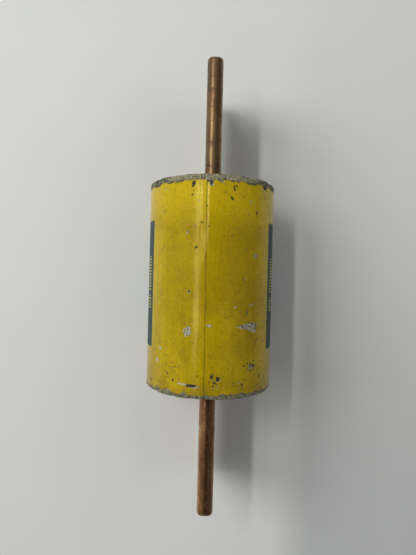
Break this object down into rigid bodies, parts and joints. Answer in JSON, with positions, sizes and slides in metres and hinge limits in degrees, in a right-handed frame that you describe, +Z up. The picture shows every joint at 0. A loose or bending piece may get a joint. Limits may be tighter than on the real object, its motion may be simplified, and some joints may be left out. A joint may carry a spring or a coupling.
{
  "type": "knife-blade cartridge fuse",
  "caption": "Cylindrical dual-element cartridge fuse with a labelled laminate tube and a slotted copper knife blade standing on edge at each end.",
  "frame": {"origin": "centre of the fuse, on the tube's axis midway between the blade tips", "axes": "+X along the tube towards the sand-filled short-circuit end; blades stand in the XZ plane; +Z up"},
  "size_m": [0.181, 0.0536, 0.0536],
  "materials": {
    "laminate": "scuffed glass-melamine laminate",
    "label": "worn yellow coated paper with plain blue-grey side panels",
    "copper": "brown patinated copper",
    "plug_brass": "turned brass, dulled",
    "braze": "silver braze alloy",
    "pin_steel": "ground steel",
    "fibre": "vulcanised fibre",
    "fill_plug": "brass, pressed in",
    "sand": "packed quartz sand",
    "element_copper": "silver-plated copper strip",
    "bridge_copper": "copper plate",
    "screw_steel": "zinc-plated steel",
    "divider": "glass-melamine laminate",
    "barrel_brass": "turned brass",
    "heater_alloy": "copper-nickel strip",
    "solder": "low-melting solder",
    "spring_steel": "hardened spring wire",
    "plunger_steel": "plated steel"
  },
  "bodies": {
    "fuse_body": {"bridge_plate": "bridge_copper", "bridge_screws": "screw_steel", "casing_tube": "laminate", "compartment_sleeve": "fibre", "divider_disc": "divider", "fill_hole_plug": "fill_plug", "fusing_alloy": "solder", "heater_strip_1": "heater_alloy", "heater_strip_2": "heater_alloy", "heater_strip_3": "heater_alloy", "heater_strip_4": "heater_alloy", "label": "label", "left_blade": "copper", "left_braze_fillet": "braze", "left_end_plug": "plug_brass", "left_retaining_pins": "pin_steel", "left_seal_washer": "fibre", "overload_barrel": "barrel_brass", "quartz_sand": "sand", "right_blade": "copper", "right_braze_fillet": "braze", "right_end_plug": "plug_brass", "right_retaining_pins": "pin_steel", "right_seal_washer": "fibre", "short_circuit_element_1": "element_copper", "short_circuit_element_2": "element_copper", "short_circuit_element_3": "element_copper", "short_circuit_element_4": "element_copper", "trigger_spring": "spring_steel"},
    "trigger_plunger": {"trigger_plunger": "plunger_steel"}
  },
  "joints": [
    {"name": "plunger_slide", "type": "slide", "parent": "fuse_body", "child": "trigger_plunger", "axis": [-1, 0, 0], "range_m": [0, 0.01275], "stiffness_N_per_m": 1500, "springref_m": 0.016}
  ]
}
